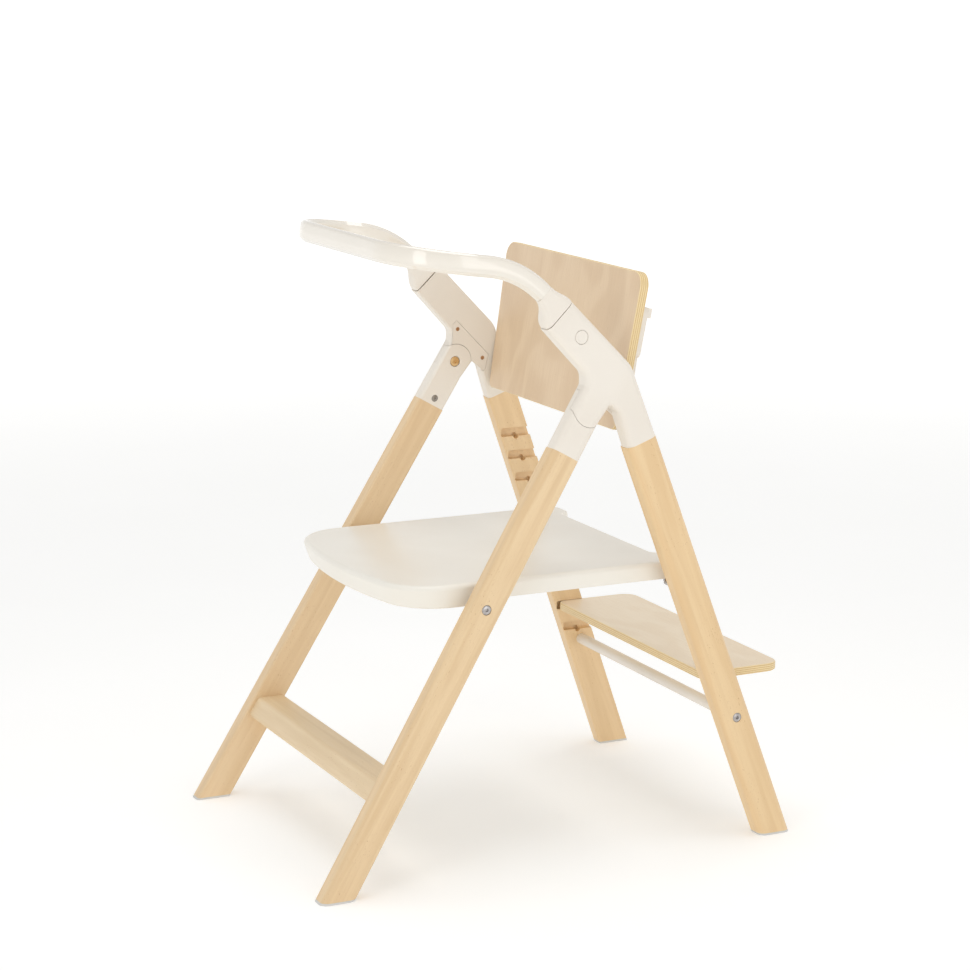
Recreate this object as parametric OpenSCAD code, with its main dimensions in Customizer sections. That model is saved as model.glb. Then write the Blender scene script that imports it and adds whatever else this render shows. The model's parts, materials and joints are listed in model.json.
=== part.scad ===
// Folding wooden high chair in its open, standing position.
// The sitter looks towards -Y, the sitter's left side is +X, and Z = 0 is the floor.
// Origin: centre of the footprint, on the floor.

/* [Stance] */
// Width over the feet
foot_width = 503.5; // [470:0.5:540]
// Depth over the feet, front toe to rear heel
foot_depth = 696.4; // [690:0.2:704]
// Inward lean of each side frame, degrees
side_lean = 2.35; // [1.5:0.05:3]
// Lean of the front legs from the vertical, degrees
front_lean = 31.2; // [30.8:0.1:31.6]
// Lean of the rear legs from the vertical, degrees
rear_lean = 19.75; // [19.4:0.05:20.1]

/* [Legs] */
// Thickness of the legs across the chair
leg_t = 27.2; // [25:0.1:30]
// Width of the front legs, square to their length
front_leg_w = 42.4; // [40:0.1:44]
// Width of the rear legs, square to their length
rear_leg_w = 45.1; // [43:0.1:47]
// Radius of the outer edges
edge_out = 10; // [6:0.5:12]
// Radius of the inner edges
edge_in = 3; // [1:0.5:5]
// Thickness of the glides under the feet
glide_t = 3; // [2:0.5:5]

/* [Board grooves] */
// Number of grooves in each rear leg
groove_count = 10; // [6:1:10]
// Height of the top edge of the highest groove
groove_top = 508; // [504:1:512]
// Spacing of the grooves
groove_pitch = 34; // [33:0.5:35]
// Height of a groove
groove_h = 13.2; // [13:0.1:14]
// Depth of a groove
groove_depth = 8; // [7:0.5:9]
// Wall left at the front end of a groove
groove_wall = 4.5; // [4:0.5:5.5]

/* [Hub] */
// Pivot of the front legs: distance behind the origin
pivot_y = 47; // [46.5:0.1:47.5]
// Pivot of the front legs: height
pivot_z = 610.7; // [610.2:0.1:611.2]
// Radius of the knuckle round the pivot
knuckle_r = 25; // [24.5:0.1:25.5]
// Gap round the knuckle and between its cheeks
knuckle_gap = 0.5; // [0.4:0.1:0.8]
// Width of the arm that carries the guard ring
arm_w = 50.5; // [48:0.5:51]
// Slope of the arm above the horizontal, degrees
arm_slope = 46; // [45.5:0.1:46.5]

/* [Guard ring] */
// Height of the ring band
ring_h = 28.5; // [26:0.5:30]
// Thickness of the ring band
ring_t = 14; // [12:0.5:16]
// Half width of the ring on its centreline
ring_half_w = 211; // [209:0.5:212]
// Front of the ring on its centreline
ring_front = -208; // [-225:1:-195]
// Corner radius of the ring in plan
ring_corner = 95; // [70:1:120]
// Rise of the ring towards the front, degrees
ring_rise = 8; // [4:0.5:10]
// Radius of the bend between the arm and the ring
ring_bend = 134; // [120:1:150]

/* [Platform] */
// Height of the platform top
platform_top = 387; // [385:0.5:389]
// Thickness of the platform at its sides and rear
platform_t = 23.5; // [22:0.5:25]
// Thickness of the platform at its front
platform_front_t = 30.5; // [26:0.5:32]
// Half width of the platform
platform_half_w = 194; // [190:0.5:194]
// Front edge of the platform
platform_front = -226; // [-230:1:-222]
// Corner radius at the front of the platform
platform_corner = 50; // [40:1:60]
// Rear edge of the platform between its ears
platform_rear = 191; // [186:1:193]
// Platform pivot on the front legs: distance in front of the origin
platform_pivot_y = -108.5; // [-109:0.1:-108]
// Platform pivot on the front legs: height
platform_pivot_z = 360.4; // [360:0.1:361]

/* [Backrest] */
// Thickness of the backrest plywood
backrest_t = 13; // [10:0.5:15]
// Half width of the backrest at the bottom
backrest_bottom_w = 193; // [188:0.5:194]
// Half width of the backrest at the top
backrest_top_w = 204; // [194:0.5:205]
// Recline of the backrest, degrees
backrest_lean = 9.6; // [9:0.1:10]
// Length of the backrest
backrest_len = 211; // [200:1:215]

/* [Step board] */
// Thickness of the step board plywood
board_t = 12; // [11:0.1:12]
// Front to back depth of the step board
board_depth = 125.5; // [115:0.5:126]
// Half width of the step board
board_half_w = 220; // [217:0.5:220.5]
// Groove that holds the board, counted down from the top one
board_groove = 8; // [2:1:8]

/* [Hidden] */

$fn = 48;
far = 1200;          // longer than the chair, for cutting blocks
wood = [0.89, 0.78, 0.62];
ply = [0.86, 0.75, 0.61];
cream = [0.93, 0.90, 0.86];
steel = [0.62, 0.62, 0.63];
brass = [0.78, 0.62, 0.36];
grey_pad = [0.85, 0.85, 0.84];

half_foot = foot_width / 2;
toe_y = -foot_depth / 2;
heel_y = foot_depth / 2;
front_u = [sin(front_lean), cos(front_lean)];     // up the front leg, as [Y, Z]
front_v = [cos(front_lean), -sin(front_lean)];    // across the front leg, rearward
rear_u = [-sin(rear_lean), cos(rear_lean)];
rear_v = [cos(rear_lean), sin(rear_lean)];
heel_front_y = heel_y - rear_leg_w / cos(rear_lean);   // front edge of the rear foot
function outer_x(z) = half_foot - z * tan(side_lean);
function inner_x(z) = outer_x(z) - leg_t;
function rear_front_y(z) = heel_front_y - z * tan(rear_lean);
function rear_mid_y(z) = heel_y - rear_leg_w / cos(rear_lean) / 2 - z * tan(rear_lean);

lap_x = inner_x(pivot_z) + leg_t / 2;      // plane between cap and hub at the knuckle
pivot_s = (pivot_y - toe_y) * front_u[0] + pivot_z * front_u[1];
cap_s = pivot_s - 69;                      // cap seam, measured up the front leg
cap_tilt = 1.5;                            // the cap seam is cut this far off square
sleeve_s = 588;                            // sleeve seam, measured up the rear leg
knuckle_flare = 7;
tenon_t = 17;
tenon_len = 38;                            // front legs
rear_tenon_len = 22;
tenon_inset = 7;

arm_d = [-cos(arm_slope), sin(arm_slope)];    // up the arm
arm_n = [sin(arm_slope), cos(arm_slope)];     // across the arm, up and rearward
arm_end = [4.9, 733.7];                         // centre of the seam with the collar
collar_len = 34;
ring_end_h = 26;
tongue_len = 62;
tongue_w = 26;
tongue_t = 7.7;
tongue_x = 203.4;                             // inner face of the tongue
tongue_nose = 18;                             // how far the tongue reaches into its collar
ring_shift = 4.6;                             // ring centreline above the middle of the arm
channel_gap = 0.4;
button_back = 41;                             // button centre, back from the arm seam
button_r = 9;
button_travel = 3;
button_x = 213.5;                             // floor of the button pocket

peg_y = 187;
peg_r = 3;
peg_z = 353.8;
saddle_z = peg_z + peg_r + 0.4;              // underside of the rail where it rests on the peg
rail_t = 4;
rail_x = 181;
rail_bottom = 361;
rail_h = 16;
rod_y = 262.8;
rod_z = 172.2;
rod_r = 8;
bolt_r = 4;
fit = 0.05;                                   // radial running fit of a pivot

// ---------- helpers ----------

// Both sides of the chair.
module both() {
    children();
    mirror([1, 0, 0]) children();
}

// Right side copy of a left part.
module other() {
    mirror([1, 0, 0]) children();
}

// The left side frame: X = 0 is its outer face and Z runs up the leaning side.
module lean() {
    translate([half_foot, 0, 0]) rotate([0, -side_lean, 0]) children();
}

// A slab with a side outline, given as [Y, Z] points, between two X values.
module side_slab(x0, x1) {
    translate([x0, 0, 0]) rotate([90, 0, 90]) linear_extrude(x1 - x0) children();
}

// A cylinder along X.
module x_cyl(y, z, x0, x1, r) {
    translate([x0, y, z]) rotate([0, 90, 0]) cylinder(h = x1 - x0, r = r);
}

// A hexagon socket along X.
module x_hex(y, z, x0, x1, across) {
    translate([x0, y, z]) rotate([0, 90, 0]) cylinder(h = x1 - x0, d = across / cos(30), $fn = 6);
}

// Points of an arc round c, from angle a0 to a1.
function arc(c, r, a0, a1, n) =
    [for (i = [0:n]) [c[0] + r * cos(a0 + (a1 - a0) * i / n), c[1] + r * sin(a0 + (a1 - a0) * i / n)]];

// Corner a-b-c rounded with radius r.
function round_corner(a, b, c, r, n = 8) =
    let (p = (a - b) / norm(a - b),
         q = (c - b) / norm(c - b),
         half = acos(p * q) / 2,
         m = (p + q) / norm(p + q),
         o = b + m * r / sin(half),
         s = atan2((b + p * r / tan(half) - o)[1], (b + p * r / tan(half) - o)[0]),
         e = atan2((b + q * r / tan(half) - o)[1], (b + q * r / tan(half) - o)[0]),
         turn = e - s > 180 ? e - s - 360 : e - s < -180 ? e - s + 360 : e - s)
    arc(o, r, s, s + turn, n);

// Closed outline through [Y, Z, radius] points.
function rounded(pts) =
    [for (i = [0:len(pts) - 1])
        let (k = len(pts),
             a = [pts[(i + k - 1) % k][0], pts[(i + k - 1) % k][1]],
             b = [pts[i][0], pts[i][1]],
             c = [pts[(i + 1) % k][0], pts[(i + 1) % k][1]])
        each pts[i][2] > 0 ? round_corner(a, b, c, pts[i][2]) : [b]];

// Solid swept through rings of points; every ring has the same count.
module swept(rings, closed = false) {
    m = len(rings[0]);
    k = len(rings);
    points = [for (ring = rings) each ring];
    walls = [for (i = [0:k - (closed ? 1 : 2)]) for (j = [0:m - 1])
        let (a = i * m + j,
             b = i * m + (j + 1) % m,
             c = ((i + 1) % k) * m + (j + 1) % m,
             d = ((i + 1) % k) * m + j)
        each [[a, b, c], [a, c, d]]];
    ends = closed ? [] : [[for (j = [m - 1:-1:0]) j], [for (j = [0:m - 1]) (k - 1) * m + j]];
    polyhedron(points = points, faces = concat(walls, ends), convexity = 6);
}

// ---------- legs ----------

// Leg section: x runs inward from the outer face, y across the leg.
module leg_section(w) {
    translate([-leg_t + edge_in, 0]) square([leg_t - edge_in - edge_out, w]);
    translate([-leg_t, edge_in]) square([edge_in + 1, w - 2 * edge_in]);
    translate([-edge_out - 1, edge_out]) square([edge_out + 1, w - 2 * edge_out]);
    for (y = [edge_in, w - edge_in]) translate([-leg_t + edge_in, y]) circle(edge_in);
    for (y = [edge_out, w - edge_out]) translate([-edge_out, y]) circle(edge_out);
}

// Frame of a front leg: Y across the leg from its front edge, Z up the leg.
module front_frame() {
    lean() translate([0, toe_y, 0]) rotate([-front_lean, 0, 0]) children();
}

// Frame of a rear leg: Y across the leg from its front edge, Z up the leg.
module rear_frame() {
    lean() translate([0, heel_front_y, 0]) rotate([rear_lean, 0, 0]) children();
}

module front_bar(s0, s1) {
    front_frame() translate([0, 0, s0]) linear_extrude(s1 - s0) leg_section(front_leg_w);
}

module rear_bar(s0, s1) {
    rear_frame() translate([0, 0, s0]) linear_extrude(s1 - s0) leg_section(rear_leg_w);
}

module slab(z0, z1) {
    translate([-far, -far, z0]) cube([2 * far, 2 * far, z1 - z0]);
}

// Everything above the cap seam of the front leg.
module above_cap_seam() {
    front_frame() translate([0, front_leg_w / 2, cap_s]) rotate([cap_tilt, 0, 0])
        translate([-100, -100, 0]) cube([200, 200, 300]);
}

// Tenon core of a leg, from the seam to its end.
module tenon(w, s0, s1) {
    translate([-(leg_t + tenon_t) / 2, tenon_inset, s0])
        cube([tenon_t, w - 2 * tenon_inset, s1 - s0]);
}

// One groove outline in the side plane: open at the rear, rounded at the front.
module groove_outline(z1) {
    z0 = z1 - groove_h;
    y0 = rear_front_y(z1) + groove_wall / cos(rear_lean);
    r = 3;
    translate([y0 + r, z0]) square([80, groove_h]);
    translate([y0, z0 + r]) square([r + 1, groove_h - 2 * r]);
    for (z = [z0 + r, z1 - r]) translate([y0 + r, z]) circle(r);
}

module grooves() {
    for (i = [0:groove_count - 1]) {
        z1 = groove_top - i * groove_pitch;
        lean() side_slab(-leg_t - 1, -leg_t + groove_depth) groove_outline(z1);
        lean() x_cyl(rear_mid_y(z1 - groove_h), z1 - groove_h, -leg_t - 1, -leg_t + groove_depth + 4, 4);
    }
}

module rear_leg() {
    color(wood) difference() {
        union() {
            intersection() {
                rear_bar(-60, sleeve_s);
                slab(glide_t, far);
            }
            rear_frame() tenon(rear_leg_w, sleeve_s - 1, sleeve_s + rear_tenon_len);
        }
        grooves();
        x_cyl(rod_y, rod_z, inner_x(rod_z) - 5, outer_x(rod_z) + 5, bolt_r);
        x_cyl(rod_y, rod_z, inner_x(rod_z) - 5, inner_x(rod_z) + 4, rod_r);
        x_cyl(rod_y, rod_z, outer_x(rod_z) - 3.4, outer_x(rod_z) + 5, 6.6);
        x_cyl(peg_y, peg_z, inner_x(peg_z) - 5, inner_x(peg_z) + 14, peg_r);
    }
}
module rear_leg_left() { rear_leg(); }
module rear_leg_right() { other() rear_leg(); }

module front_leg() {
    color(wood) difference() {
        union() {
            difference() {
                intersection() {
                    front_bar(-60, cap_s + 20);
                    slab(glide_t, far);
                }
                above_cap_seam();
            }
            front_frame() tenon(front_leg_w, cap_s - 6, cap_s + tenon_len);
        }
        cap_bolt_hole();
        x_cyl(platform_pivot_y, platform_pivot_z, 150, 300, bolt_r);
        x_cyl(platform_pivot_y, platform_pivot_z, outer_x(platform_pivot_z) - 3.4, 300, 6.8);
        stretcher_dowel_set();
    }
}
module front_leg_left() { front_leg(); }
module front_leg_right() { other() front_leg(); }

// Thin pads that close the foot ends.
module rear_glides() {
    color(grey_pad) both() intersection() {
        rear_bar(-60, 60);
        slab(0, glide_t);
    }
}
module front_glides() {
    color(grey_pad) both() intersection() {
        front_bar(-60, 60);
        slab(0, glide_t);
    }
}

// ---------- front frame ----------

cap_bolt = [pivot_y, pivot_z] - 60.3 * front_u;   // on the leg centreline
module cap_bolt_hole() {
    x_cyl(cap_bolt[0], cap_bolt[1], 150, outer_x(cap_bolt[1]) - 7, 2.5);
}

// Strip that a knuckle is trimmed to: in line with the leg in front, flared behind.
module knuckle_strip() {
    below = pivot_s - 60;
    above = pivot_s + 60;
    flare_from = pivot_s - 14;
    front_frame() side_slab(-100, 100) polygon([
        [0, below], [front_leg_w, below], [front_leg_w, flare_from],
        [front_leg_w + (above - flare_from) * tan(knuckle_flare), above], [0, above]]);
}

// Cap on top of a front leg, with the inner half of the knuckle.
module leg_cap() {
    color(cream) difference() {
        union() {
            difference() {
                intersection() {
                    front_bar(cap_s - 20, pivot_s);
                    above_cap_seam();
                }
                x_cyl(pivot_y, pivot_z, 150, 300, knuckle_r + knuckle_gap);
            }
            intersection() {
                union() {
                    x_cyl(pivot_y, pivot_z, 150, lap_x - knuckle_gap / 2, knuckle_r);
                    intersection() {
                        front_bar(pivot_s - 40, pivot_s);
                        translate([150, -far, 0]) cube([lap_x - knuckle_gap / 2 - 150, 2 * far, far]);
                    }
                }
                lean() translate([-leg_t, -far, 0]) cube([leg_t, 2 * far, far]);
                knuckle_strip();
            }
        }
        front_frame() tenon(front_leg_w, cap_s - 10, cap_s + tenon_len);
        cap_bolt_hole();
        x_cyl(cap_bolt[0], cap_bolt[1], 150, inner_x(cap_bolt[1]) + 2.2, 5);
        x_cyl(pivot_y, pivot_z, 150, 300, bolt_r + fit);
        x_cyl(pivot_y, pivot_z, 150, inner_x(pivot_z) + 3.4, 7.8);
    }
}
module leg_cap_left() { leg_cap(); }
module leg_cap_right() { other() leg_cap(); }

module cap_bolts() {
    color(steel) both() difference() {
        union() {
            x_cyl(cap_bolt[0], cap_bolt[1], inner_x(cap_bolt[1]) + 1, outer_x(cap_bolt[1]) - 8, 2.5);
            x_cyl(cap_bolt[0], cap_bolt[1], inner_x(cap_bolt[1]) - 0.2, inner_x(cap_bolt[1]) + 2.2, 5);
        }
        x_hex(cap_bolt[0], cap_bolt[1], 150, inner_x(cap_bolt[1]) + 1.6, 3);
    }
}

// Foot board between the front legs: level top, front face in line with the legs.
stretcher_top = 143;
stretcher_t = 29;
stretcher_depth = 42;
stretcher_front = toe_y + stretcher_top * tan(front_lean) + 7.6;   // top front edge
stretcher_slant = stretcher_t * tan(front_lean);
stretcher_c = [stretcher_front + stretcher_depth / 2 - stretcher_slant / 2, stretcher_top - stretcher_t / 2];
module stretcher_block() {
    side_slab(-far / 2, far / 2) polygon(rounded([
        [stretcher_front, stretcher_top, 6],
        [stretcher_front + stretcher_depth, stretcher_top, 4],
        [stretcher_front + stretcher_depth - stretcher_slant, stretcher_top - stretcher_t, 4],
        [stretcher_front - stretcher_slant, stretcher_top - stretcher_t, 6]]));
}
module inner_space() {
    intersection() {
        lean() translate([-far - leg_t, -far, -10]) cube([far, 2 * far, far]);
        other() lean() translate([-far - leg_t, -far, -10]) cube([far, 2 * far, far]);
    }
}
module stretcher_dowel_set() {
    x0 = inner_x(stretcher_c[1]);
    for (s = [-9, 9])
        x_cyl(stretcher_c[0] + s, stretcher_c[1], x0 - 16, x0 + 16, 4);
}
module front_stretcher() {
    color(wood) difference() {
        intersection() {
            stretcher_block();
            inner_space();
        }
        both() stretcher_dowel_set();
    }
}
module stretcher_dowels() {
    color(wood) both() stretcher_dowel_set();
}

// ---------- hub ----------

function arm_point(back, across) = arm_end - back * arm_d + across * arm_n;
function front_edge_point(s) = [toe_y, 0] + s * front_u;
function rear_point(s, v) = [heel_front_y, 0] + s * rear_u + v * rear_v;

HUB = rounded([
    [arm_point(0, -arm_w / 2)[0], arm_point(0, -arm_w / 2)[1], 0],
    [40.8, 656.5, 16],
    [40.2, 641.3, 8],
    [front_edge_point(pivot_s + 6)[0], front_edge_point(pivot_s + 6)[1], 0],
    [pivot_y, pivot_z, 0],
    [pivot_y + knuckle_r - 1, pivot_z - 1.5, 0],
    [86.5, 603.5, 7],
    [rear_point(sleeve_s, 0)[0], rear_point(sleeve_s, 0)[1], 0],
    [rear_point(sleeve_s, rear_leg_w)[0], rear_point(sleeve_s, rear_leg_w)[1], 0],
    [109, 662.8, 36],
    [arm_point(0, arm_w / 2)[0], arm_point(0, arm_w / 2)[1], 0]
]);

COVER = rounded([
    [42.6, 666.3, 2],
    [48.5, 672.5, 2],
    [99.9, 619.5, 3],
    [93.6, 592, 3],
    [86.6, 599.5, 5],
    [pivot_y + knuckle_r + 2, pivot_z - 0.5, 0],
    [pivot_y, pivot_z + 8, 0],
    [41.4, 637.5, 0],
    [42.4, 650, 6]
]);
cover_t = 3;
cover_screws = [[50.4, 657.6], [90.3, 613.3]];

module cover_slab(grow) {
    lean() side_slab(-leg_t - grow, -leg_t + cover_t) polygon(COVER);
}

// Main shell of a hub: arm, knuckle cheek and the sleeve over the rear leg.
module hub() {
    color(cream) difference() {
        union() {
            difference() {
                lean() side_slab(-leg_t, 0) polygon(HUB);
                x_cyl(pivot_y, pivot_z, 150, lap_x + knuckle_gap / 2, knuckle_r + knuckle_gap);
            }
            intersection() {
                x_cyl(pivot_y, pivot_z, lap_x + knuckle_gap / 2, 300, knuckle_r);
                lean() translate([-leg_t, -far, 0]) cube([leg_t, 2 * far, far]);
                knuckle_strip();
            }
        }
        rear_frame() tenon(rear_leg_w, sleeve_s - 10, sleeve_s + rear_tenon_len);
        cover_slab(1);
        for (p = cover_screws) x_cyl(p[0], p[1], inner_x(p[1]) + 2, inner_x(p[1]) + 13, 1.6);
        x_cyl(pivot_y, pivot_z, 150, lap_x + 9.5, 6);
        ring_channel();
        x_cyl(button_c[0], button_c[1], button_x, 300, button_r + 0.4);
        for (p = carrier_bolt_at) x_cyl(p[0], p[1], 150, inner_x(p[1]) + 10, 2.5);
    }
}
module hub_left() { hub(); }
module hub_right() { other() hub(); }

module hub_cover() {
    color(cream) difference() {
        cover_slab(0);
        x_cyl(pivot_y, pivot_z, 150, 300, knuckle_r + knuckle_gap);
        for (p = cover_screws) {
            x_cyl(p[0], p[1], 150, 300, 1.6);
            x_cyl(p[0], p[1], 150, inner_x(p[1]) + 1.6, 3);
        }
    }
}
module hub_cover_left() { hub_cover(); }
module hub_cover_right() { other() hub_cover(); }

module hub_cover_screws() {
    color(brass) both() for (p = cover_screws) difference() {
        union() {
            x_cyl(p[0], p[1], inner_x(p[1]) + 1, inner_x(p[1]) + 12.5, 1.6);
            x_cyl(p[0], p[1], inner_x(p[1]) + 0.4, inner_x(p[1]) + 1.6, 3);
        }
        for (a = [0, 90]) translate([inner_x(p[1]), p[0], p[1]]) rotate([a + 45, 0, 0])
            cube([2, 0.7, 3.4], center = true);
    }
}

module pivot_bolts() {
    color(brass) both() difference() {
        union() {
            x_cyl(pivot_y, pivot_z, inner_x(pivot_z) + 2, lap_x + 9, bolt_r);
            x_cyl(pivot_y, pivot_z, inner_x(pivot_z) + 0.2, inner_x(pivot_z) + 3.2, 7);
        }
        x_hex(pivot_y, pivot_z, 150, inner_x(pivot_z) + 2.6, 5);
    }
}

module pivot_inserts() {
    color(brass) both() difference() {
        x_cyl(pivot_y, pivot_z, lap_x + 0.6, lap_x + 9.5, 6);
        x_cyl(pivot_y, pivot_z, 150, lap_x + 9, bolt_r);
    }
}

// ---------- guard ring ----------

button_c = arm_point(button_back, 0);

module arm_box(back0, back1, w, x0, x1) {
    c = arm_point(back1, 0);
    translate([x0, c[0], c[1]]) rotate([90 - arm_slope, 0, 0]) translate([0, -w / 2, 0])
        cube([x1 - x0, w, back1 - back0]);
}

module ring_channel() {
    arm_box(-5, tongue_len + 2, tongue_w + 2 * channel_gap,
        tongue_x - channel_gap, tongue_x + tongue_t + channel_gap);
}

module ring_tongue() {
    color(steel) arm_box(-tongue_nose, tongue_len, tongue_w, tongue_x, tongue_x + tongue_t);
}
module ring_tongue_left() { ring_tongue(); }
module ring_tongue_right() { other() ring_tongue(); }

// Collar: tapers from the arm to the ring band.
collar_gap = 0.4;
module collar() {
    top = ring_half_w + ring_t / 2;
    a = arm_point(-collar_gap, 0);
    color(cream) difference() {
        hull() {
            translate([0, a[0], a[1]]) rotate([90 - arm_slope, 0, 0])
                translate([inner_x(736), -arm_w / 2, 0]) cube([leg_t, arm_w, 4]);
            translate([0, ring_shift * arm_n[0], ring_shift * arm_n[1]])
                arm_box(-collar_len, -collar_len + 0.5, ring_end_h, top - ring_t, top);
        }
        arm_box(-tongue_nose, 5, tongue_w, tongue_x, tongue_x + tongue_t);
    }
}
module collar_left() { collar(); }
module collar_right() { other() collar(); }

// Rounded band section: o is outward, u is up, both unit vectors.
function band(c, o, u, t, h) =
    let (r = min(t, h) / 2 - 1)
    [for (q = [[1, 1], [-1, 1], [-1, -1], [1, -1]]) for (i = [0:3])
        let (base = q[0] > 0 ? (q[1] > 0 ? 0 : 270) : (q[1] > 0 ? 90 : 180),
             a = base + 30 * i)
        c + o * (q[0] * (t / 2 - r) + r * cos(a)) + u * (q[1] * (h / 2 - r) + r * sin(a))];

// Centreline of the left half of the ring, from the collar to the middle of the front.
bend_steps = 8;
corner_steps = 12;
seam_c = arm_point(-collar_len, ring_shift);
bend_c = seam_c + ring_bend * [-sin(arm_slope), -cos(arm_slope)];
function bend_at(a) = bend_c + ring_bend * [sin(a), cos(a)];
bend_out = bend_at(ring_rise);
rise_d = [-cos(ring_rise), sin(ring_rise)];     // forward along the ring
side_run = (bend_out[0] - ring_front) / cos(ring_rise) - ring_corner;
function in_plane(run) = bend_out + run * rise_d;

RING = concat(
    [for (i = [0:bend_steps])
        let (a = arm_slope + (ring_rise - arm_slope) * i / bend_steps,
             p = bend_at(a))
        band([ring_half_w, p[0], p[1]], [1, 0, 0], [0, sin(a), cos(a)], ring_t,
            ring_end_h + (ring_h - ring_end_h) * i / bend_steps)],
    [for (i = [0:corner_steps])
        let (b = 90 * i / corner_steps,
             p = in_plane(side_run + ring_corner * sin(b)),
             x = ring_half_w - ring_corner * (1 - cos(b)),
             o = [cos(b), rise_d[0] * sin(b), rise_d[1] * sin(b)])
        band([x, p[0], p[1]], o, [0, sin(ring_rise), cos(ring_rise)], ring_t, ring_h)]);

// Mirror image of a band section, which turns the same way along the ring.
function mirrored(section) = [for (p = section) [-p[0], p[1], p[2]]];

module guard_ring() {
    k = len(RING);
    color(cream) swept(concat(RING, [for (i = [k - 2:-1:0]) mirrored(RING[i])]));
}

// Round push button on the outer face of a hub.
module release_button() {
    back = button_x + 5;
    deep = outer_x(button_c[1]) + 0.8 - back;
    color(cream) translate([back, button_c[0], button_c[1]]) rotate([0, 90, 0]) rotate_extrude()
        polygon([[0, 1.4], [button_r - 2, 1.4], [button_r - 2, 0], [button_r, 0],
            [button_r, deep - 0.8], [button_r - 0.8, deep], [0, deep]]);
}
module release_button_left() { release_button(); }
module release_button_right() { other() release_button(); }

// Return spring behind a button, drawn at its pressed length.
spring_r = 5.2;
spring_wire = 0.35;
spring_turns = 2;
spring_steps = 12;
module button_spring() {
    n = spring_turns * spring_steps;
    rise = button_travel - 1.2 - 2 * spring_wire;
    swept([for (i = [0:n])
        let (a = 360 * i / spring_steps,
             c = [button_x + 0.1 + spring_wire + rise * i / n,
                button_c[0] + spring_r * cos(a), button_c[1] + spring_r * sin(a)])
        [for (j = [0:5]) c + spring_wire * (cos(60 * j) * [0, cos(a), sin(a)] + sin(60 * j) * [1, 0, 0])]]);
}
module button_springs() {
    color(steel) both() button_spring();
}

// ---------- rear frame fittings ----------

module cross_rod() {
    reach = inner_x(rod_z) + 4;
    color(cream) difference() {
        x_cyl(rod_y, rod_z, -reach, reach, rod_r);
        both() x_cyl(rod_y, rod_z, reach - 22, reach + 5, bolt_r);
    }
}

module rod_bolts() {
    face = outer_x(rod_z);
    color(steel) both() difference() {
        union() {
            x_cyl(rod_y, rod_z, inner_x(rod_z) - 16, face - 3, bolt_r);
            x_cyl(rod_y, rod_z, face - 3.4, face + 0.6, 6.6);
        }
        x_hex(rod_y, rod_z, face - 2, face + 5, 5);
    }
}

module rest_pegs() {
    color(steel) both() x_cyl(peg_y, peg_z, rail_x - 4, inner_x(peg_z) + 14, peg_r);
}

// Frame of the backrest: X across, Y through its thickness, Z up the board.
backrest_y = 97;
backrest_z = 572.3;
module backrest_frame() {
    translate([0, backrest_y, backrest_z]) rotate([-backrest_lean, 0, 0]) children();
}
module backrest() {
    w0 = backrest_bottom_w;
    w1 = backrest_top_w;
    outline = rounded([[-w0, 0, 9], [w0, 0, 9], [w1, backrest_len, 20], [-w1, backrest_len, 20]]);
    color(ply) difference() {
        backrest_frame() translate([0, backrest_t, 0]) rotate([90, 0, 0])
            linear_extrude(backrest_t) polygon(outline);
        at_backrest_screws(backrest_t - 7, backrest_t + 1, backrest_screw_r);
    }
}

// Moulded carrier behind the backrest, with an arm down to each hub.
carrier_t = 9;
carrier_bolt_at = [[121.9, 611.5], [123, 596]];
carrier_bolt_x = 178;                        // inner end of the lugs
backrest_screw_x = [-165, -60, 60, 165];
backrest_screw_z = 135;
backrest_screw_r = 2;
backrest_screw_head_r = 4;

// A cylinder through the backrest's thickness at each screw, from depth y0 to y1.
module at_backrest_screws(y0, y1, r) {
    backrest_frame() for (x = backrest_screw_x) translate([x, y0, backrest_screw_z])
        rotate([-90, 0, 0]) cylinder(h = y1 - y0, r = r);
}
module backrest_carrier() {
    back = backrest_t + carrier_t;
    color(cream) difference() {
        union() {
            backrest_frame() translate([0, back, 0]) rotate([90, 0, 0])
                linear_extrude(carrier_t) polygon(rounded([
                    [-192, 98, 8], [-178, 98, 8], [-168, 110, 8], [168, 110, 8], [178, 98, 8],
                    [192, 98, 8], [196, 166, 8], [120, 166, 8], [100, 150, 8], [-100, 150, 8],
                    [-120, 166, 8], [-196, 166, 8]]));
            for (side = [-1, 1]) backrest_frame()
                translate([side * 184 - 8, backrest_t, 152]) cube([16, 16, 13]);
            both() backrest_frame() translate([carrier_bolt_x, backrest_t, 12]) cube([8, carrier_t, 90]);
            both() intersection() {
                backrest_frame() translate([carrier_bolt_x, backrest_t, 12]) cube([30, 14, 42]);
                lean() translate([-leg_t - 60, -far, 0]) cube([60 - 0.2, 2 * far, far]);
            }
        }
        at_backrest_screws(0, back, backrest_screw_r);
        at_backrest_screws(back - 2.5, back + 5, backrest_screw_head_r);
        both() for (p = carrier_bolt_at) x_cyl(p[0], p[1], 150, 250, 2.5);
    }
}
module backrest_screws() {
    back = backrest_t + carrier_t;
    color(steel) difference() {
        union() {
            at_backrest_screws(backrest_t - 7, back - 1, backrest_screw_r);
            at_backrest_screws(back - 2.5, back - 0.3, backrest_screw_head_r);
        }
        backrest_frame() for (x = backrest_screw_x) translate([x, back, backrest_screw_z])
            for (a = [0, 90]) rotate([0, a, 0]) cube([4.6, 2, 0.9], center = true);
    }
}
module carrier_bolts() {
    color(steel) both() for (p = carrier_bolt_at) difference() {
        union() {
            x_cyl(p[0], p[1], carrier_bolt_x, inner_x(p[1]) + 9, 2.5);
            x_cyl(p[0], p[1], carrier_bolt_x - 3, carrier_bolt_x, 4.3);
        }
        x_hex(p[0], p[1], 170, 177, 3);
    }
}

// ---------- platform ----------

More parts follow.
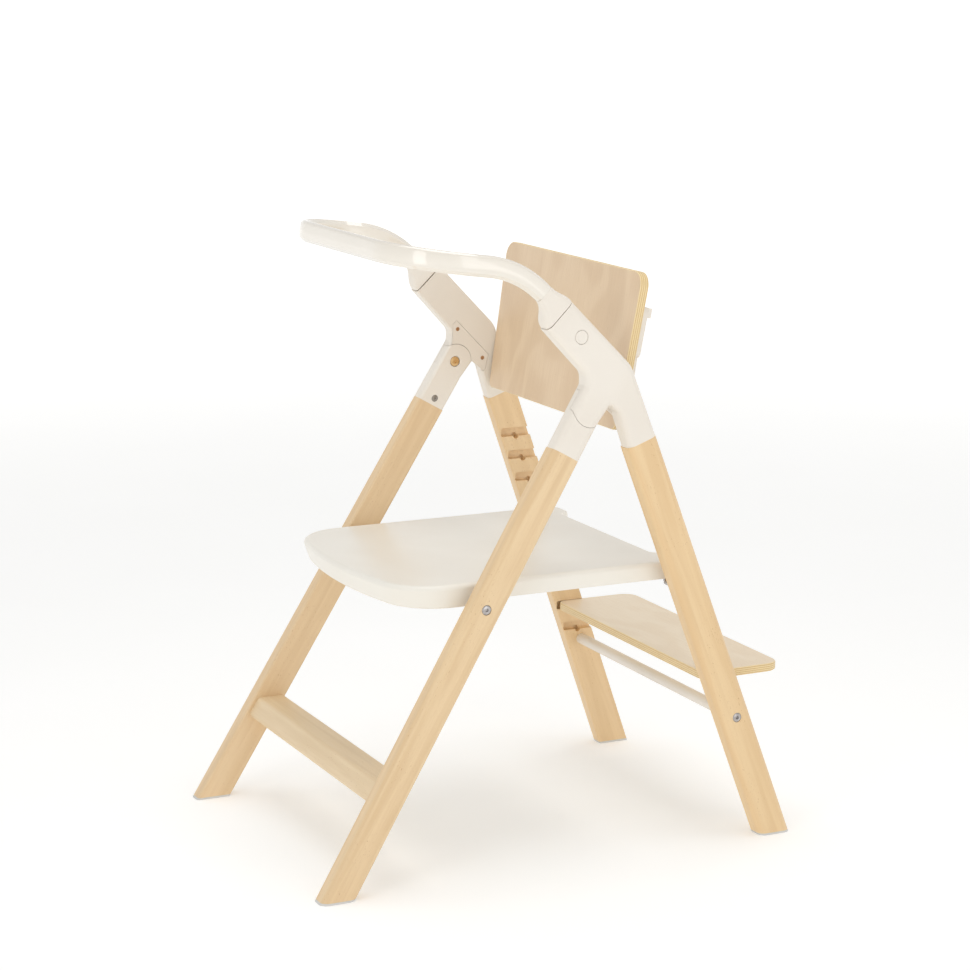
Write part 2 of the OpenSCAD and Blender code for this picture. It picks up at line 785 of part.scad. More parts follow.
ear_w = 40;
ear_len = 17;
front_turn = 6;             // slope of the front edge where it meets its corners, degrees
function flat(pts) = [for (p = pts) [p[0], p[1], 0]];
function platform_outline(inset) =
    let (w = platform_half_w - inset,
         r = platform_corner - inset,
         cx = w - r,
         reach = cx / sin(front_turn),
         front_c = [0, platform_front + inset + reach + r],
         cy = front_c[1] - reach * cos(front_turn),
         rear = platform_rear - inset)
    rounded(concat(
        flat(arc([-cx, cy], r, 180, 270 - front_turn, 10)),
        flat(arc(front_c, reach + r, 270 - front_turn + 0.6, 270 + front_turn - 0.6, 8)),
        flat(arc([cx, cy], r, 270 + front_turn, 360, 10)),
        [[w, rear + ear_len, 14], [w - ear_w + 2 * inset, rear + ear_len, 12],
         [w - ear_w - 12 + 2 * inset, rear, 16], [-w + ear_w + 12 - 2 * inset, rear, 16],
         [-w + ear_w - 2 * inset, rear + ear_len, 12], [-w, rear + ear_len, 14]]));
wall = 5;
rib_t = 3;
rail_screw_y = [-60, 40, 140];
rib_front = 17;             // the ribs start this far behind the front edge
slant_top = 4;              // the front leans back from this far below the top
slant = 0.8;                // set-back of the front for each millimetre down

// Body of the platform, and its hollow with an inset: the front face leans back below its top edge.
module platform_block(inset, low, high) {
    top = platform_top - slant_top;
    front = platform_front + inset * norm([1, slant]);
    difference() {
        translate([0, 0, low]) linear_extrude(high - low) polygon(platform_outline(inset));
        side_slab(-far, far) polygon([[front, top], [front + slant * (top - low + 1), low - 1],
            [front - 50, low - 1], [front - 50, top]]);
    }
}
module platform() {
    z0 = platform_top - platform_t;
    z1 = platform_top - platform_front_t;
    color(cream) difference() {
        union() {
            difference() {
                platform_block(0, z1, platform_top);
                platform_block(wall, z1 - 1, platform_top - wall);
                side_slab(-far, far) polygon([[-125, z1 - 2], [-125, z1], [-60, z0], [far, z0], [far, z1 - 2]]);
            }
            for (x = [-110, -40, 40, 110]) translate([x - rib_t / 2, platform_front + rib_front, z0 + 4])
                cube([rib_t, platform_rear - platform_front - rib_front - 6, platform_t - 5]);
            for (y = [-150, -60, 40, 140]) translate([-platform_half_w + 6, y - rib_t / 2, z0 + 14.5])
                cube([2 * platform_half_w - 12, rib_t, platform_t - 16]);
            for (side = [-1, 1]) for (y = rail_screw_y)
                translate([side * 172 - 9, y - 8, z0 + 2]) cube([18, 16, platform_t - 3]);
        }
        both() {
            translate([rail_x - 0.3, -140, 300]) cube([rail_t + 0.6, 400, rail_bottom + rail_h + 0.5 - 300]);
            x_cyl(platform_pivot_y, platform_pivot_z, 174, 300, 6.2);
            translate([172, platform_pivot_y - 10, 300]) cube([9.5, 20, 76]);
            for (y = rail_screw_y) x_cyl(y, rail_bottom + 9, 165, 181, 1.8);
        }
    }
}

// Steel rail inside each side of the platform, with a hook behind the rest peg.
module platform_rail() {
    nose = peg_y + peg_r + 1;
    color(steel) difference() {
        side_slab(rail_x, rail_x + rail_t) union() {
            translate([platform_pivot_y, rail_bottom]) square([nose + 9 - platform_pivot_y, rail_h]);
            translate([nose, peg_z - 4]) square([9, 12]);
            translate([peg_y - 6, saddle_z]) square([nose + 6 - peg_y, rail_bottom + 1 - saddle_z]);
            translate([platform_pivot_y, platform_pivot_z]) circle(7.2);
            translate([platform_pivot_y - 7.2, platform_pivot_z]) square([10, rail_h]);
        }
        x_cyl(platform_pivot_y, platform_pivot_z, 150, 300, bolt_r + fit);
        for (y = rail_screw_y) x_cyl(y, rail_bottom + 9, 150, 300, 1.8);
        translate([150, -far, rail_bottom + rail_h]) cube([80, 2 * far, 100]);
    }
}
module platform_rail_left() { platform_rail(); }
module platform_rail_right() { other() platform_rail(); }

module rail_screws() {
    color(steel) both() for (y = rail_screw_y) {
        x_cyl(y, rail_bottom + 9, 168, rail_x + rail_t, 1.8);
        x_cyl(y, rail_bottom + 9, rail_x + rail_t, rail_x + rail_t + 1.6, 3.4);
    }
}

module platform_pivot_bolts() {
    face = outer_x(platform_pivot_z);
    color(steel) both() difference() {
        union() {
            x_cyl(platform_pivot_y, platform_pivot_z, 174, face - 3, bolt_r);
            x_cyl(platform_pivot_y, platform_pivot_z, face - 3.4, face + 0.6, 6.6);
        }
        x_hex(platform_pivot_y, platform_pivot_z, face - 2, face + 5, 5);
    }
}

module platform_spacers() {
    color(steel) both() difference() {
        x_cyl(platform_pivot_y, platform_pivot_z, platform_half_w + 0.6, inner_x(platform_pivot_z) - 0.4, 7);
        x_cyl(platform_pivot_y, platform_pivot_z, 150, 300, bolt_r);
    }
}

module platform_nuts() {
    color(steel) both() difference() {
        x_hex(platform_pivot_y, platform_pivot_z, rail_x - 6, rail_x - 0.4, 12);
        x_cyl(platform_pivot_y, platform_pivot_z, 150, 300, bolt_r);
    }
}

// ---------- step board ----------

module step_board() {
    groove = groove_top - board_groove * groove_pitch;
    ceiling = groove * cos(side_lean) - leg_t * sin(side_lean);
    floor_z = (groove - groove_h) * cos(side_lean) - (leg_t - groove_depth) * sin(side_lean);
    y0 = rear_front_y(groove) + groove_wall / cos(rear_lean) + 1.4;
    w = board_half_w;
    color(ply) translate([0, 0, (ceiling + floor_z - board_t) / 2]) linear_extrude(board_t)
        polygon(rounded([[-w, y0, 16], [w, y0, 16], [w - 2, y0 + board_depth, 22],
            [-w + 2, y0 + board_depth, 22]]));
}

rear_leg_left();
rear_leg_right();
hub_left();
hub_right();
hub_cover_left();
hub_cover_right();
hub_cover_screws();
pivot_bolts();
pivot_inserts();
cross_rod();
rod_bolts();
backrest();
backrest_carrier();
backrest_screws();
carrier_bolts();
rest_pegs();
rear_glides();
front_leg_left();
front_leg_right();
leg_cap_left();
leg_cap_right();
cap_bolts();
front_stretcher();
stretcher_dowels();
front_glides();
platform_pivot_bolts();
platform_spacers();
platform_nuts();
platform();
platform_rail_left();
platform_rail_right();
rail_screws();
guard_ring();
collar_left();
collar_right();
ring_tongue_left();
ring_tongue_right();
release_button_left();
release_button_right();
button_springs();
step_board();
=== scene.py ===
"""Looks for a folding wooden high chair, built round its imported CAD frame.

Most pieces start as a copy of their CAD node, so every size is the CAD's, and have their edges rounded.
The ring, collars, backrest, board, buttons, larger bolts and the platform's front are modelled anew in
the same place.
Lengths are in millimetres until a mesh is made, and the row frame is the CAD's.
"""

import json
from math import acos, atan2, cos, pi, radians, sin, tan
import bmesh
import bpy
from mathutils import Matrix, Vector


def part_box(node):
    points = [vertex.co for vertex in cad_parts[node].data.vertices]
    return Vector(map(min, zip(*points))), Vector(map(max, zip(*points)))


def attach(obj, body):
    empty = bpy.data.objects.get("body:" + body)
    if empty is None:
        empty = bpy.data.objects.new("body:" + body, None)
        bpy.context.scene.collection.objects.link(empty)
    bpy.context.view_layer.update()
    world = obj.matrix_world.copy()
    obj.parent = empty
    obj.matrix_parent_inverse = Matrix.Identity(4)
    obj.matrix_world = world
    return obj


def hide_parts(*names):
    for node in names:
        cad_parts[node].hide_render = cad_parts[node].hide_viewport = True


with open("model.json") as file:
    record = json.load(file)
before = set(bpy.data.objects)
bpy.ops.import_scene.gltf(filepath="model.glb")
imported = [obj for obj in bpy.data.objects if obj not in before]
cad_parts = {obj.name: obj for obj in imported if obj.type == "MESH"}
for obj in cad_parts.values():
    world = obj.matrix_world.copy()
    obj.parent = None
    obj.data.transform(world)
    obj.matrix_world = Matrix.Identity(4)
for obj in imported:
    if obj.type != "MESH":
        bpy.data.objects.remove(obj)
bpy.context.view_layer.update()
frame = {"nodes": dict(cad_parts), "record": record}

MM = 0.001

# ---------- driving sizes, as in the CAD ----------

HALF_FOOT = 251.75
TOE_Y = -348.2
HEEL_Y = 348.2
SIDE_LEAN = radians(2.35)
FRONT_LEAN = radians(31.2)
REAR_LEAN = radians(19.75)
LEG_T = 27.2
FRONT_W = 42.4
REAR_W = 45.1
PIVOT = Vector((47.0, 610.7))
ARM_SLOPE = radians(46)
ARM_W = 50.5
ARM_END = Vector((4.9, 733.7))
COLLAR_LEN = 34.0
RING_SHIFT = 4.6
RING_HALF_W = 211.0
RING_T = 14.0
RING_H = 28.5
RING_END_H = 26.0
RING_FRONT = -208.0
RING_CORNER = 95.0
RING_RISE = radians(8)
RING_BEND = 134.0
BACKREST_LEAN = radians(9.6)
BACKREST_AT = (97.0, 572.3)
BACKREST_T = 13.0
PLATFORM_TOP = 387.0
EDGE_OUT = 10.0          # rounding of the outer long edges
EDGE_IN = 5.0            # rounding of the inner long edges
SKIN = 0.06              # how far a rounding form lies inside the CAD faces

HEEL_FRONT_Y = HEEL_Y - REAR_W / cos(REAR_LEAN)
PIVOT_S = (PIVOT.x - TOE_Y) * sin(FRONT_LEAN) + PIVOT.y * cos(FRONT_LEAN)
CAP_S = PIVOT_S - 69
SLEEVE_S = 588.0
ARM_D = Vector((-cos(ARM_SLOPE), sin(ARM_SLOPE)))
ARM_N = Vector((sin(ARM_SLOPE), cos(ARM_SLOPE)))


def side_point(x, y, z):
    """A point of the leaning left side frame: x is measured from its outer face."""
    return (HALF_FOOT + x * cos(SIDE_LEAN) - z * sin(SIDE_LEAN), y, x * sin(SIDE_LEAN) + z * cos(SIDE_LEAN))


def front_point(across, along):
    """(y, z) at a distance across a front leg from its front edge, and along it from the floor."""
    return (
        TOE_Y + across * cos(FRONT_LEAN) + along * sin(FRONT_LEAN),
        -across * sin(FRONT_LEAN) + along * cos(FRONT_LEAN),
    )


def rear_point(across, along):
    """(y, z) in the same way on a rear leg."""
    return (
        HEEL_FRONT_Y + across * cos(REAR_LEAN) - along * sin(REAR_LEAN),
        across * sin(REAR_LEAN) + along * cos(REAR_LEAN),
    )


def arm_point(back, across):
    """(y, z) on the hub's arm: back from its upper end, and across it from its middle."""
    p = ARM_END - back * ARM_D + across * ARM_N
    return (p.x, p.y)


def outer_x(z):
    return HALF_FOOT - z * tan(SIDE_LEAN)


def inner_x(z):
    return outer_x(z) - LEG_T


def backrest_point(x, depth, up):
    """A point of the leaning backrest: depth through its thickness, up along it."""
    return (
        x,
        BACKREST_AT[0] + depth * cos(BACKREST_LEAN) + up * sin(BACKREST_LEAN),
        BACKREST_AT[1] - depth * sin(BACKREST_LEAN) + up * cos(BACKREST_LEAN),
    )


# ---------- outlines ----------


def arc(centre, r, start, end, steps):
    """Points of an arc, from the angle start to the angle end."""
    angles = [start + (end - start) * i / steps for i in range(steps + 1)]
    return [Vector((centre[0] + r * cos(a), centre[1] + r * sin(a))) for a in angles]


def rounded(points, steps=12):
    """A closed outline through (a, b, radius) points."""
    out = []
    for i, (u, v, r) in enumerate(points):
        b = Vector((u, v))
        if r == 0:
            out.append(b)
            continue
        p = (Vector(points[i - 1][:2]) - b).normalized()
        q = (Vector(points[(i + 1) % len(points)][:2]) - b).normalized()
        half = acos(max(-1, min(1, p.dot(q)))) / 2
        centre = b + (p + q).normalized() * (r / sin(half))
        s = b + p * (r / tan(half)) - centre
        e = b + q * (r / tan(half)) - centre
        start = atan2(s.y, s.x)
        turn = (atan2(e.y, e.x) - start + pi) % (2 * pi) - pi
        out += arc(centre, r, start, start + turn, steps)
    return out


def inset(outline, d):
    """The outline moved inward by d, corners mitred."""
    n = len(outline)
    area = sum(outline[i - 1].x * outline[i].y - outline[i].x * outline[i - 1].y for i in range(n))
    turn = 1 if area > 0 else -1
    out = []
    for i in range(n):
        e0 = (outline[i] - outline[i - 1]).normalized()
        e1 = (outline[(i + 1) % n] - outline[i]).normalized()
        n0 = Vector((-e0.y, e0.x)) * turn
        n1 = Vector((-e1.y, e1.x)) * turn
        out.append(outline[i] + (n0 + n1) * (d / max(0.3, 1 + n0.dot(n1))))
    return out


# ---------- meshes ----------


def new_object(name, verts, faces):
    mesh = bpy.data.meshes.new(name)
    mesh.from_pydata([Vector(v) * MM for v in verts], [], faces)
    obj = bpy.data.objects.new(name, mesh)
    bpy.context.scene.collection.objects.link(obj)
    edit(obj, lambda bm: bmesh.ops.recalc_face_normals(bm, faces=bm.faces))
    return obj


def edit(obj, change):
    """Runs change(bm) on the object's mesh."""
    bm = bmesh.new()
    bm.from_mesh(obj.data)
    change(bm)
    bm.to_mesh(obj.data)
    bm.free()


def loft(name, rings, closed=False):
    """A solid through rings of points of one count, capped at both ends unless it is closed."""
    m = len(rings[0])
    k = len(rings)
    verts = [p for ring in rings for p in ring]
    faces = []
    for i in range(k if closed else k - 1):
        for j in range(m):
            a, b = i * m + j, i * m + (j + 1) % m
            c, d = ((i + 1) % k) * m + (j + 1) % m, ((i + 1) % k) * m + j
            faces.append((a, b, c, d))
    if not closed:
        faces += [tuple(reversed(range(m))), tuple(range((k - 1) * m, k * m))]
    return new_object(name, verts, faces)


def pillow(name, outline, low, high, r_low, r_high, place, steps=6):
    """The outline drawn out from low to high, with its two rims rounded.

    place(level, a, b) gives the point."""
    rings = []
    for i in range(steps + 1):
        t = pi / 2 * (1 - i / steps)
        rings.append([place(low + r_low * (1 - sin(t)), *p) for p in inset(outline, r_low * (1 - cos(t)))])
    for i in range(steps + 1):
        t = pi / 2 * i / steps
        rings.append([place(high - r_high * (1 - sin(t)), *p) for p in inset(outline, r_high * (1 - cos(t)))])
    return loft(name, rings)


def prism(name, outline, low, high, place):
    """The outline drawn out from low to high, with sharp rims."""
    return loft(name, [[place(level, *p) for p in outline] for level in (low, high)])


def lathe(name, profile, y, z, x0, sign=1, segments=48):
    """A turned solid about an axis along X.

    profile has (radius, distance) points from the middle of one end to the middle of the other.
    distance is measured from x0, in the direction of sign."""
    turns = [2 * pi * j / segments for j in range(segments)]
    rings = [[(x0 + sign * h, y + r * cos(a), z + r * sin(a)) for a in turns] for r, h in profile[1:-1]]
    verts = [p for ring in rings for p in ring]
    faces = []
    for i in range(len(rings) - 1):
        for j in range(segments):
            k = (j + 1) % segments
            faces.append((i * segments + j, i * segments + k, (i + 1) * segments + k, (i + 1) * segments + j))
    first, last = len(verts), len(verts) + 1
    verts += [(x0 + sign * profile[0][1], y, z), (x0 + sign * profile[-1][1], y, z)]
    top = (len(rings) - 1) * segments
    for j in range(segments):
        k = (j + 1) % segments
        faces += [(first, k, j), (last, top + j, top + k)]
    return new_object(name, verts, faces)


def apply_modifiers(obj):
    """Puts the result of the object's modifiers into its mesh."""
    deps = bpy.context.evaluated_depsgraph_get()
    mesh = bpy.data.meshes.new_from_object(obj.evaluated_get(deps))
    obj.modifiers.clear()
    obj.data = mesh


def boolean(obj, tool, operation="DIFFERENCE"):
    """Cuts, joins or intersects obj with tool, and removes tool."""
    m = obj.modifiers.new("shape", "BOOLEAN")
    m.operation = operation
    m.solver = "EXACT"
    m.object = tool
    apply_modifiers(obj)
    bpy.data.objects.remove(tool)


def soften(obj, width, angle=40, segments=2):
    """Small rounding on the edges sharper than angle."""
    m = obj.modifiers.new("soften", "BEVEL")
    m.width = width * MM
    m.segments = segments
    m.limit_method = "ANGLE"
    m.angle_limit = radians(angle)
    m.use_clamp_overlap = True
    apply_modifiers(obj)


def shade(obj, angle=30):
    """Smooth faces, sharp where the surface turns by more than angle, flat faces kept flat."""

    def mark(bm):
        for f in bm.faces:
            f.smooth = True
        for e in bm.edges:
            e.smooth = len(e.link_faces) == 2 and e.calc_face_angle(0) < radians(angle)

    edit(obj, mark)
    m = obj.modifiers.new("flat faces", "WEIGHTED_NORMAL")
    m.keep_sharp = True
    m.weight = 50


def cad_copy(node, name):
    """A copy of a CAD node with its seams welded and its flat faces made whole."""
    obj = bpy.data.objects.new(name, frame["nodes"][node].data.copy())
    bpy.context.scene.collection.objects.link(obj)
    obj.data.materials.clear()

    def clean(bm):
        bmesh.ops.remove_doubles(bm, verts=bm.verts, dist=2e-6)
        bmesh.ops.dissolve_limit(
            bm, angle_limit=radians(0.4), verts=bm.verts, edges=bm.edges, delimit={"NORMAL"}
        )
        bmesh.ops.recalc_face_normals(bm, faces=bm.faces)

    edit(obj, clean)
    return obj


def mirrored_copy(obj, name):
    """The right side twin of a left piece."""
    twin = bpy.data.objects.new(name, obj.data.copy())
    bpy.context.scene.collection.objects.link(twin)

    def flip(bm):
        for v in bm.verts:
            v.co.x = -v.co.x
        bmesh.ops.reverse_faces(bm, faces=bm.faces)

    edit(twin, flip)
    return twin


def merge(name, objects):
    """One object from several."""
    bm = bmesh.new()
    for o in objects:
        bm.from_mesh(o.data)
    mesh = bpy.data.meshes.new(name)
    bm.to_mesh(mesh)
    bm.free()
    for o in objects:
        bpy.data.objects.remove(o)
    obj = bpy.data.objects.new(name, mesh)
    bpy.context.scene.collection.objects.link(obj)
    return obj


def dress(obj, body, slot, material, node):
    """Material, body and the CAD node that the piece stands for. The slot argument is not used."""
    obj.data.materials.clear()
    obj.data.materials.append(material)
    for f in obj.data.polygons:
        f.material_index = 0
    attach(obj, body)
    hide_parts(node)


def body_of(node):
    return next(b for b, nodes in frame["record"]["behaviour"]["bodies"].items() if node in nodes)


def slot_of(node):
    return next(s["material_slot"] for s in frame["record"]["subparts"] if s["node"] == node)


# ---------- materials ----------


def rgb(r, g, b):
    """Linear colour from screen values."""
    linear = [c / 255 / 12.92 if c <= 10 else ((c / 255 + 0.055) / 1.055) ** 2.4 for c in (r, g, b)]
    return (*linear, 1.0)


class Nodes:
    """Short calls for building a material."""

    def __init__(self, name, roughness, metallic=0.0, coat=0.0, coat_roughness=0.1, specular=0.5):
        self.material = bpy.data.materials.new(name)
        self.material.use_nodes = True
        self.tree = self.material.node_tree
        self.shader = self.tree.nodes["Principled BSDF"]
        self.shader.inputs["Roughness"].default_value = roughness
        self.shader.inputs["Metallic"].default_value = metallic
        self.shader.inputs["Coat Weight"].default_value = coat
        self.shader.inputs["Coat Roughness"].default_value = coat_roughness
        self.shader.inputs["Specular IOR Level"].default_value = specular

    def add(self, kind, **settings):
        node = self.tree.nodes.new(kind)
        for key, value in settings.items():
            setattr(node, key, value)
        return node

    def wire(self, source, target):
        self.tree.links.new(source, target)

    def math(self, operation, a, b=None, c=None, clamp=False):
        node = self.add("ShaderNodeMath", operation=operation, use_clamp=clamp)
        for socket, value in zip(node.inputs, (a, b, c)):
            if value is None:
                continue
            if isinstance(value, (int, float)):
                socket.default_value = value
            else:
                self.wire(value, socket)
        return node.outputs[0]

    def place(self):
        return self.add("ShaderNodeTexCoord").outputs["Object"]

    def along(self, vector, axis, offset=0.0):
        """Distance along an axis, in millimetres."""
        node = self.add("ShaderNodeVectorMath", operation="DOT_PRODUCT")
        self.wire(vector, node.inputs[0])
        node.inputs[1].default_value = [c / MM for c in axis]
        return self.math("ADD", node.outputs["Value"], offset)

    def combine(self, *parts):
        node = self.add("ShaderNodeCombineXYZ")
        for socket, value in zip(node.inputs, parts):
            self.wire(value, socket)
        return node.outputs[0]

    def noise(self, vector, scale, detail=3.0, roughness=0.55, distortion=0.0):
        node = self.add("ShaderNodeTexNoise")
        self.wire(vector, node.inputs["Vector"])
        node.inputs["Scale"].default_value = scale
        node.inputs["Detail"].default_value = detail
        node.inputs["Roughness"].default_value = roughness
        node.inputs["Distortion"].default_value = distortion
        return node.outputs["Fac"]

    def ramp(self, value, low, high, to_low=0.0, to_high=1.0):
        node = self.add("ShaderNodeMapRange", interpolation_type="SMOOTHSTEP")
        self.wire(value, node.inputs["Value"])
        for key, number in (("From Min", low), ("From Max", high), ("To Min", to_low), ("To Max", to_high)):
            node.inputs[key].default_value = number
        return node.outputs["Result"]

    def mix(self, factor, a, b, blend="MIX"):
        node = self.add("ShaderNodeMix", data_type="RGBA", blend_type=blend)
        for socket, value in ((node.inputs["Factor"], factor), (node.inputs["A"], a), (node.inputs["B"], b)):
            if isinstance(value, (tuple, float, int)):
                socket.default_value = value
            else:
                self.wire(value, socket)
        return node.outputs["Result"]

    def colour(self, value):
        self.wire(value, self.shader.inputs["Base Color"])

    def roughness(self, value):
        self.wire(value, self.shader.inputs["Roughness"])

    def bump(self, height, distance_mm, strength=1.0):
        node = self.add("ShaderNodeBump")
        node.inputs["Distance"].default_value = distance_mm * MM
        node.inputs["Strength"].default_value = strength
        self.wire(height, node.inputs["Height"])
        self.wire(node.outputs["Normal"], self.shader.inputs["Normal"])


def wood_axes(axis):
    """The grain direction and two directions across it."""
    axis = Vector(axis).normalized()
    one = axis.cross(Vector((1, 0, 0))) if abs(axis.x) < 0.9 else axis.cross(Vector((0, 0, 1)))
    one.normalize()
    return axis, one, axis.cross(one)


PLIES = 9
BEECH_LIGHT = rgb(236, 208, 166)
BEECH_DARK = rgb(222, 190, 146)
BEECH_FLECK = rgb(190, 146, 100)


def beech(name, axis, seed, light=BEECH_LIGHT, dark=BEECH_DARK):
    """Planed beech: soft bands along the grain, and short dark flecks."""
    m = Nodes(name, roughness=0.42, coat=0.12, coat_roughness=0.3)
    place = m.place()
    grain, one, two = wood_axes(axis)
    s = m.along(place, grain, seed * 37.0)
    a = m.along(place, one, seed * 11.0)
    b = m.along(place, two, seed * 5.0)

    def fibre(stretch, width, detail=2.0, roughness=0.5, distortion=0.0):
        across = [m.math("MULTIPLY", c, width) for c in (a, b)]
        return m.noise(m.combine(m.math("MULTIPLY", s, stretch), *across), 1.0, detail, roughness, distortion)

    bands = fibre(0.004, 0.07, 3.0, 0.5, 0.5)
    streaks = fibre(0.02, 0.8)
    rays = fibre(0.22, 0.75, 1.0)
    flecks = fibre(0.28, 1.1, 1.0, 0.4)
    clouds = fibre(0.012, 0.03)
    base = m.mix(m.ramp(bands, 0.36, 0.64, 0.0, 0.75), light, dark)
    base = m.mix(m.ramp(streaks, 0.45, 0.75, 0.0, 0.22), base, dark)
    base = m.mix(m.ramp(rays, 0.52, 0.72, 0.0, 0.20), base, dark)
    gate = m.math("MULTIPLY", m.ramp(flecks, 0.70, 0.76), m.ramp(clouds, 0.44, 0.60, 0.12, 0.8))
    m.colour(m.mix(gate, base, BEECH_FLECK))
    m.roughness(m.ramp(streaks, 0.3, 0.7, 0.36, 0.5))
    m.bump(m.math("SUBTRACT", m.math("MULTIPLY", streaks, 0.5), gate), 0.05, 0.5)
    return m.material


def plywood(name, normal, across, along, middle, thickness, plies, light, dark):
    """Lacquered plywood: a figured face, and the layers on its edges.

    middle is where its mid-plane lies along normal, in millimetres."""
    m = Nodes(name, roughness=0.40, coat=0.15, coat_roughness=0.28)
    place = m.place()
    depth = m.along(place, normal, thickness / 2 - middle)
    u = m.along(place, across)
    v = m.along(place, along)

    def figure(by_u, by_v, by_depth, detail, roughness, distortion=0.0):
        parts = [m.math("MULTIPLY", c, by) for c, by in ((u, by_u), (v, by_v), (depth, by_depth))]
        return m.noise(m.combine(*parts), 1.0, detail, roughness, distortion)

    warp = figure(0.007, 0.0035, 0.002, 2.0, 0.45, 0.5)
    rings = m.math("SINE", m.math("MULTIPLY", warp, 34.0))
    fine = figure(0.55, 0.02, 0.05, 3.0, 0.6)
    pores = figure(1.3, 0.16, 0.2, 1.0, 0.5)
    face = m.mix(m.ramp(rings, -1.0, 1.0, 0.0, 0.42), light, dark)
    face = m.mix(m.ramp(fine, 0.35, 0.75, 0.0, 0.40), face, dark)
    face = m.mix(m.ramp(pores, 0.68, 0.76, 0.0, 0.30), face, rgb(176, 138, 100))
    layer = m.math("MULTIPLY", depth, plies / thickness)
    part = m.math("FRACT", layer)
    odd = m.math("MODULO", m.math("FLOOR", layer), 2.0)
    from_middle = m.math("ABSOLUTE", m.math("SUBTRACT", part, 0.5))
    glue = m.math("SUBTRACT", 1.0, m.ramp(from_middle, 0.40, 0.5), clamp=True)
    grit = m.noise(place, 900.0, 2.0, 0.6)
    patch = figure(0.035, 0.035, 0.9, 2.0, 0.6)
    edge = m.mix(odd, rgb(243, 222, 172), rgb(222, 190, 136))
    edge = m.mix(m.ramp(grit, 0.45, 0.75, 0.0, 0.22), edge, rgb(196, 156, 104))
    edge = m.mix(m.ramp(glue, 0.0, 1.0, 0.55, 0.0), edge, rgb(160, 120, 78))
    dark_spots = m.math("MULTIPLY", m.ramp(patch, 0.66, 0.72, 0.0, 0.55), odd)
    edge = m.mix(dark_spots, edge, rgb(112, 84, 56))
    side = m.add("ShaderNodeVectorMath", operation="DOT_PRODUCT")
    transform = m.add(
        "ShaderNodeVectorTransform", vector_type="NORMAL", convert_from="WORLD", convert_to="OBJECT"
    )
    m.wire(m.add("ShaderNodeNewGeometry").outputs["Normal"], transform.inputs[0])
    m.wire(transform.outputs[0], side.inputs[0])
    side.inputs[1].default_value = normal
    on_face = m.ramp(m.math("ABSOLUTE", side.outputs["Value"]), 0.72, 0.9)
    m.colour(m.mix(on_face, edge, face))
    m.bump(m.math("MULTIPLY", pores, -1.0), 0.04, 0.4)
    return m.material


def plastic(name, colour, shadow, roughness, coat, coat_roughness, grain_mm):
    """Moulded plastic: a faint orange-peel and slow drift of tone."""
    m = Nodes(name, roughness=roughness, coat=coat, coat_roughness=coat_roughness)
    place = m.place()
    drift = m.noise(place, 9.0, 2.0, 0.5)
    peel = m.noise(place, 650.0, 2.0, 0.5)
    speck = m.noise(place, 2400.0, 1.0, 0.5)
    base = m.mix(m.ramp(drift, 0.3, 0.7, 0.0, 0.5), colour, shadow)
    m.colour(m.mix(m.ramp(speck, 0.55, 0.8, 0.0, 0.06), base, shadow))
    m.roughness(m.ramp(peel, 0.3, 0.7, roughness * 0.9, roughness * 1.12))
    m.bump(peel, grain_mm, 0.35)
    return m.material


def metal(name, colour, tone, roughness, brushed=(0.0, 0.0, 1.0)):
    """Plated metal with fine turning marks and slight tarnish."""
    m = Nodes(name, roughness=roughness, metallic=1.0)
    place = m.place()
    s = m.along(place, brushed)
    lines = m.noise(m.combine(m.math("MULTIPLY", s, 6.0), s, s), 1.0, 2.0, 0.5)
    tarnish = m.noise(place, 160.0, 3.0, 0.6)
    m.colour(m.mix(m.ramp(tarnish, 0.35, 0.7, 0.0, 0.6), colour, tone))
    m.roughness(m.ramp(lines, 0.3, 0.7, roughness * 0.8, roughness * 1.3))
    m.bump(lines, 0.01, 0.3)
    return m.material


def side_axis(y, z):
    """A direction in the left side frame, as a row direction."""
    return Vector(side_point(0, y, z)) - Vector(side_point(0, 0, 0))


def other(axis):
    """The same direction on the right side."""
    return Vector((-axis[0], axis[1], axis[2]))


FRONT_AXIS = side_axis(sin(FRONT_LEAN), cos(FRONT_LEAN))
REAR_AXIS = side_axis(-sin(REAR_LEAN), cos(REAR_LEAN))
ACROSS = (1, 0, 0)
MAT = {
    "front_leg_left": beech("beech front left", FRONT_AXIS, 1),
    "front_leg_right": beech(
        "beech front right", other(FRONT_AXIS), 7, rgb(234, 206, 166), rgb(224, 193, 150)
    ),
    "rear_leg_left": beech("beech rear left", REAR_AXIS, 3, rgb(238, 208, 162), rgb(228, 194, 146)),
    "rear_leg_right": beech("beech rear right", other(REAR_AXIS), 5, rgb(238, 208, 164), rgb(228, 196, 150)),
    "front_stretcher": beech("beech stretcher", ACROSS, 9, rgb(238, 214, 176), rgb(228, 202, 162)),
    "stretcher_dowels": beech("beech dowels", ACROSS, 13),
    "backrest": plywood(
        "plywood backrest",
        (0, cos(BACKREST_LEAN), -sin(BACKREST_LEAN)),
        ACROSS,
        (0, sin(BACKREST_LEAN), cos(BACKREST_LEAN)),
        BACKREST_AT[0] * cos(BACKREST_LEAN) - BACKREST_AT[1] * sin(BACKREST_LEAN) + BACKREST_T / 2,
        BACKREST_T,
        PLIES,
        rgb(230, 205, 172),
        rgb(212, 182, 146),
    ),
}
hub_plastic = plastic("plastic cream", rgb(240, 233, 222), rgb(233, 224, 211), 0.38, 0.10, 0.25, 0.02)
ring_plastic = plastic("plastic cream gloss", rgb(238, 231, 219), rgb(233, 226, 213), 0.22, 1.0, 0.04, 0.004)
ring_plastic.node_tree.nodes["Principled BSDF"].inputs["Coat IOR"].default_value = 1.8
# Painted light: the platform's cream is whiter and paler than the hubs' cream, standing for the top light
# bleaching the platform's top.
platform_plastic_painted_lighter = plastic(
    "plastic cream platform", rgb(243, 239, 229), rgb(238, 232, 220), 0.34, 0.20, 0.22, 0.015
)
rod_finish = plastic("powder coat white", rgb(236, 230, 220), rgb(226, 218, 206), 0.35, 0.25, 0.2, 0.03)
